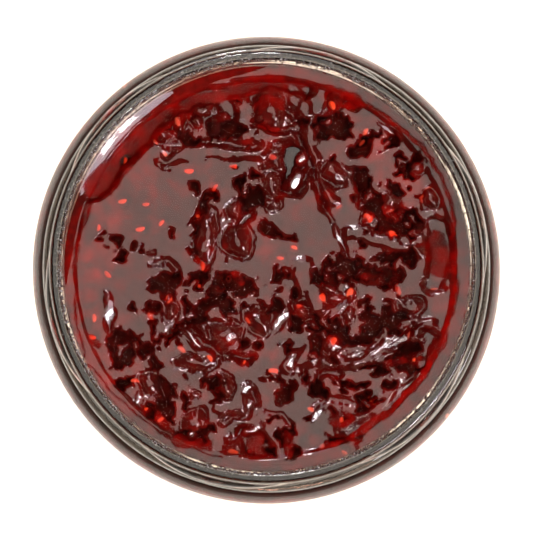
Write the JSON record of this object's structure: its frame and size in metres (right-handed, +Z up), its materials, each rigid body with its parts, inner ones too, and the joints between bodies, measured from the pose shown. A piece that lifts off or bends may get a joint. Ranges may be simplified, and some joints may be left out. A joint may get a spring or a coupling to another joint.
{
  "type": "jam jar",
  "caption": "Open wide-mouth clear glass jar with lugs for a twist-off lid, filled almost to the neck with lumpy raspberry jam.",
  "frame": {"origin": "middle of the jar's foot, on the surface that it stands on", "axes": "+Z up the jar's axis to its open mouth; +X and +Y are level"},
  "size_m": [0.086, 0.086, 0.09],
  "materials": {
    "jar_glass": "clear polished soda-lime glass",
    "jam": "wet glossy dark red jam with seeds"
  },
  "bodies": {
    "root": {"jar": "jar_glass", "jam": "jam"}
  },
  "joints": []
}
